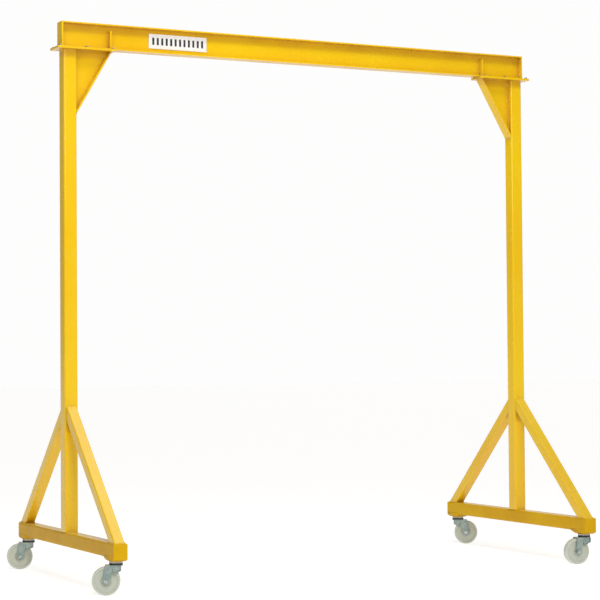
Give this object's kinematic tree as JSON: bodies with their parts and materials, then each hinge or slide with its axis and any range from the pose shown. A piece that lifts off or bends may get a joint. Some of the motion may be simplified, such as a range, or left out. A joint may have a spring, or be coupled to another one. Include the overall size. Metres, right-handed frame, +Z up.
{
  "type": "portable gantry crane",
  "caption": "Fixed-height portable gantry crane: an I-section runway beam on two braced A-frames of square tube, rolling on swivel castors with solid nylon wheels.",
  "frame": {"origin": "on the floor, below the middle of the runway beam", "axes": "+X along the runway beam towards the right A-frame, +Y from front to rear (the capacity plate faces -Y), +Z up"},
  "size_m": [2.6677, 1.3, 2.6],
  "materials": {
    "yellow_paint": "gloss traffic-yellow enamel",
    "plate_white": "white enamelled sheet",
    "castor_zinc": "bright zinc-plated pressed steel",
    "fastener_zinc": "zinc-plated steel",
    "bearing_steel": "hardened bearing steel",
    "bearing_black": "black dust shield",
    "nylon": "cast nylon",
    "bush_plastic": "plain bearing plastic"
  },
  "bodies": {
    "frame": {"runway_beam": "yellow_paint", "castor_pads": "yellow_paint", "base_end_caps": "yellow_paint", "beam_end_plate_left": "yellow_paint", "web_stiffeners_left": "yellow_paint", "beam_seat_left": "yellow_paint", "head_plate_left": "yellow_paint", "post_left": "yellow_paint", "knee_web_left": "yellow_paint", "knee_flange_left": "yellow_paint", "base_beam_left": "yellow_paint", "front_brace_left": "yellow_paint", "rear_brace_left": "yellow_paint", "beam_end_plate_right": "yellow_paint", "web_stiffeners_right": "yellow_paint", "beam_seat_right": "yellow_paint", "head_plate_right": "yellow_paint", "post_right": "yellow_paint", "knee_web_right": "yellow_paint", "knee_flange_right": "yellow_paint", "base_beam_right": "yellow_paint", "front_brace_right": "yellow_paint", "rear_brace_right": "yellow_paint", "capacity_plate": "plate_white", "joint_bolts": "fastener_zinc", "joint_washers": "yellow_paint", "kingpins": "fastener_zinc", "race_balls": "bearing_steel", "race_rings": "bearing_black", "swivel_head_front_left": "castor_zinc", "swivel_head_rear_left": "castor_zinc", "swivel_head_front_right": "castor_zinc", "swivel_head_rear_right": "castor_zinc"},
    "front_left_swivel": {"fork_front_left": "castor_zinc", "axle_bolt_front_left": "fastener_zinc", "axle_nut_front_left": "fastener_zinc", "axle_sleeve_front_left": "bearing_steel"},
    "front_left_wheel": {"wheel_front_left": "nylon", "wheel_bush_front_left": "bush_plastic"},
    "rear_left_swivel": {"fork_rear_left": "castor_zinc", "axle_bolt_rear_left": "fastener_zinc", "axle_nut_rear_left": "fastener_zinc", "axle_sleeve_rear_left": "bearing_steel"},
    "rear_left_wheel": {"wheel_rear_left": "nylon", "wheel_bush_rear_left": "bush_plastic"},
    "front_right_swivel": {"fork_front_right": "castor_zinc", "axle_bolt_front_right": "fastener_zinc", "axle_nut_front_right": "fastener_zinc", "axle_sleeve_front_right": "bearing_steel"},
    "front_right_wheel": {"wheel_front_right": "nylon", "wheel_bush_front_right": "bush_plastic"},
    "rear_right_swivel": {"fork_rear_right": "castor_zinc", "axle_bolt_rear_right": "fastener_zinc", "axle_nut_rear_right": "fastener_zinc", "axle_sleeve_rear_right": "bearing_steel"},
    "rear_right_wheel": {"wheel_rear_right": "nylon", "wheel_bush_rear_right": "bush_plastic"}
  },
  "joints": [
    {"name": "front_left_castor_turn", "type": "hinge", "parent": "frame", "child": "front_left_swivel", "pos_m": [-1.2325, -0.594, 0.1365], "axis": [0, 0, 1], "continuous": true},
    {"name": "front_left_wheel_roll", "type": "hinge", "parent": "front_left_swivel", "child": "front_left_wheel", "pos_m": [-1.27237, -0.57789, 0.0625], "axis": [0.3746, 0.9272, 0], "continuous": true},
    {"name": "rear_left_castor_turn", "type": "hinge", "parent": "frame", "child": "rear_left_swivel", "pos_m": [-1.2325, 0.594, 0.1365], "axis": [0, 0, 1], "continuous": true},
    {"name": "rear_left_wheel_roll", "type": "hinge", "parent": "rear_left_swivel", "child": "rear_left_wheel", "pos_m": [-1.27362, 0.60657, 0.0625], "axis": [0.2924, 0.9563, 0], "continuous": true},
    {"name": "front_right_castor_turn", "type": "hinge", "parent": "frame", "child": "front_right_swivel", "pos_m": [1.2325, -0.594, 0.1365], "axis": [0, 0, 1], "continuous": true},
    {"name": "front_right_wheel_roll", "type": "hinge", "parent": "front_right_swivel", "child": "front_right_wheel", "pos_m": [1.18992, -0.58802, 0.0625], "axis": [0.1392, 0.9903, 0], "continuous": true},
    {"name": "rear_right_castor_turn", "type": "hinge", "parent": "frame", "child": "rear_right_swivel", "pos_m": [1.2325, 0.594, 0.1365], "axis": [0, 0, 1], "continuous": true},
    {"name": "rear_right_wheel_roll", "type": "hinge", "parent": "rear_right_swivel", "child": "rear_right_wheel", "pos_m": [1.26897, 0.57121, 0.0625], "axis": [-0.5299, -0.848, 0], "continuous": true}
  ]
}
